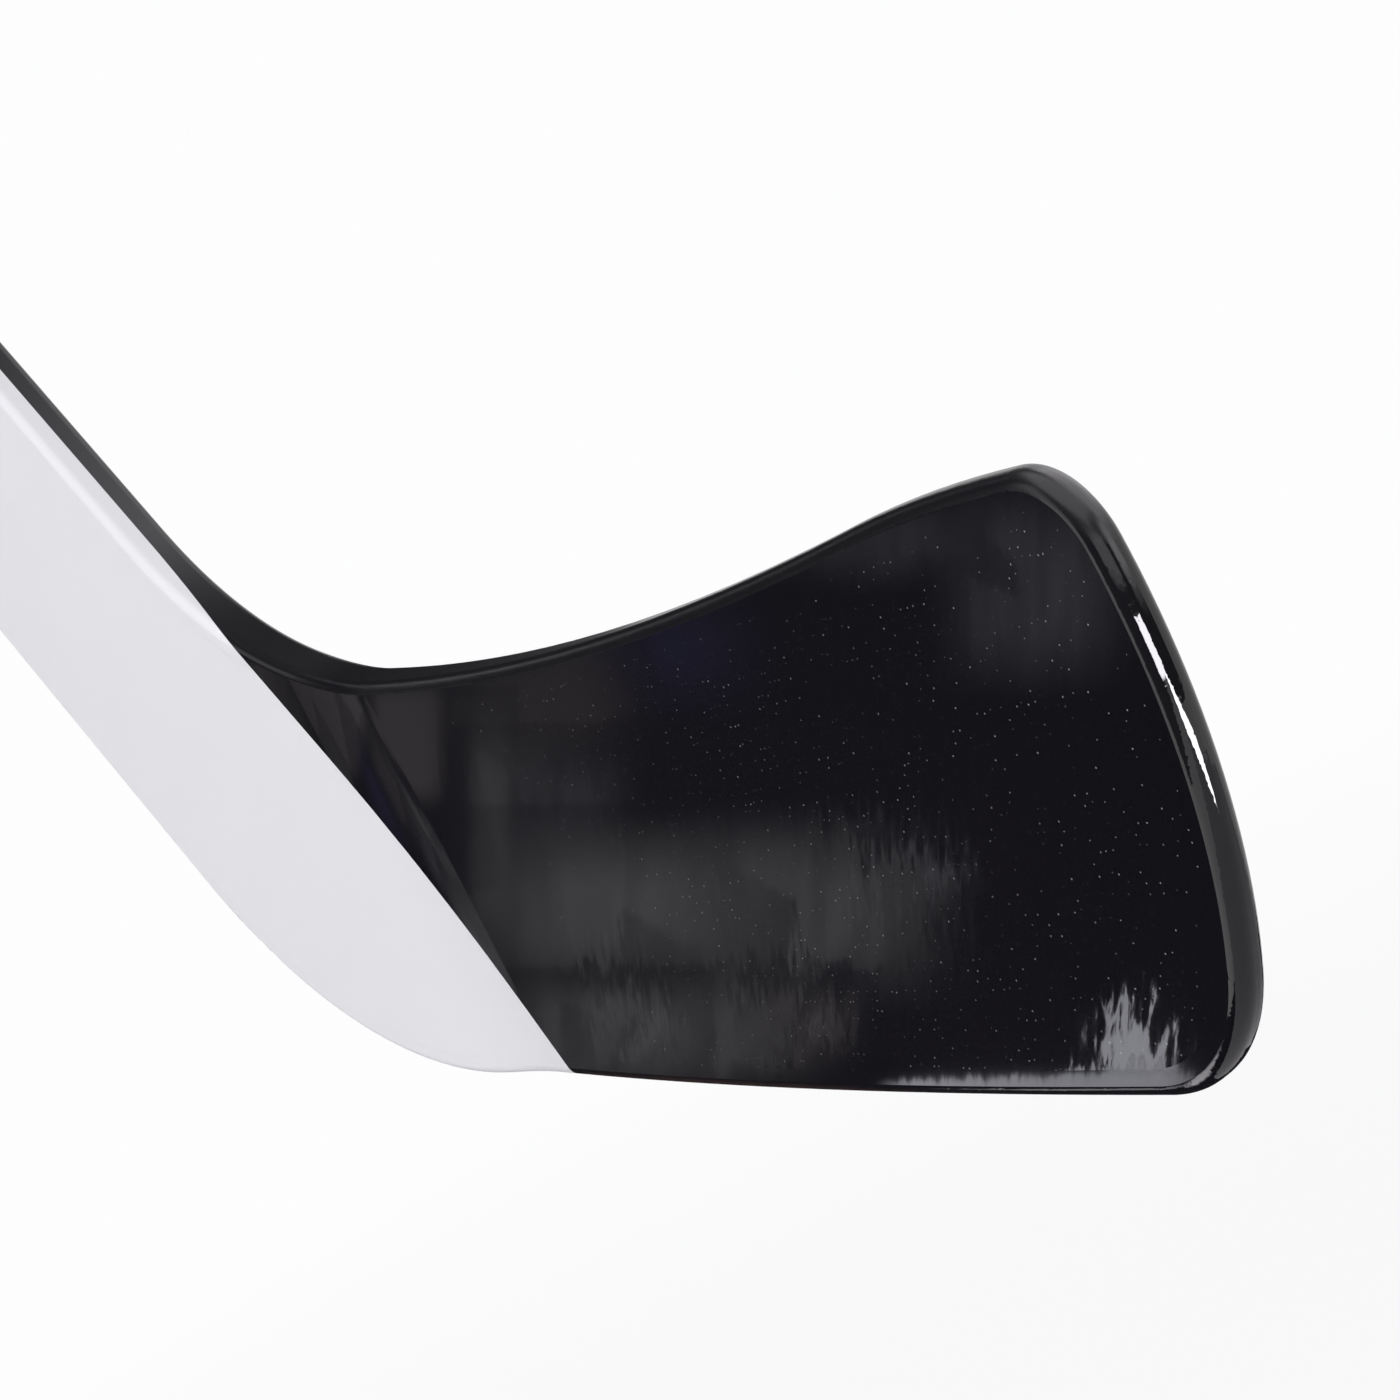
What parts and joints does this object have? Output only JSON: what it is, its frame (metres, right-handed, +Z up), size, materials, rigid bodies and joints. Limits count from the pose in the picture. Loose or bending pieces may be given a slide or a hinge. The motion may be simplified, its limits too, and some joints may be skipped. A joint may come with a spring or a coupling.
{
  "type": "hockey goalie stick",
  "caption": "Goaltender's ice hockey stick: wide white paddle, glossy black blade bent towards the forehand face, rounded edge bands, slim capped handle.",
  "frame": {"origin": "the heel datum: on the ice, below the corner where the paddle's outer edge would meet the sole", "axes": "+X along the sole to the toe, +Y away from the forehand face, +Z up from the ice"},
  "size_m": [1.0868, 0.0771, 1.3285],
  "materials": {
    "white_laminate": "satin white paint over laminate",
    "black_laminate": "clear-coated black fibre laminate",
    "edge_band": "semi-gloss black",
    "toe_resin": "dark gloss resin",
    "foam": "rigid foam",
    "wood_core": "bare laminated wood",
    "painted_wood": "black lacquer",
    "carbon_rib": "fibre laminate",
    "end_cap": "matte"
  },
  "bodies": {
    "root": {"paddle_front_skin": "white_laminate", "paddle_back_skin": "white_laminate", "blade_front_skin": "black_laminate", "blade_back_skin": "black_laminate", "paddle_inner_edge": "edge_band", "paddle_outer_edge": "edge_band", "heel_edge": "edge_band", "throat_edge": "edge_band", "blade_top_edge": "edge_band", "sole_edge": "edge_band", "toe_edge": "toe_resin", "paddle_inner_foam": "foam", "paddle_outer_foam": "foam", "blade_upper_foam": "foam", "blade_lower_foam": "foam", "handle_core": "wood_core", "heel_block": "wood_core", "handle_front_ply": "painted_wood", "handle_back_ply": "painted_wood", "paddle_inner_shoulder": "painted_wood", "paddle_outer_shoulder": "painted_wood", "blade_rib": "carbon_rib", "butt_cap": "end_cap"}
  },
  "joints": []
}
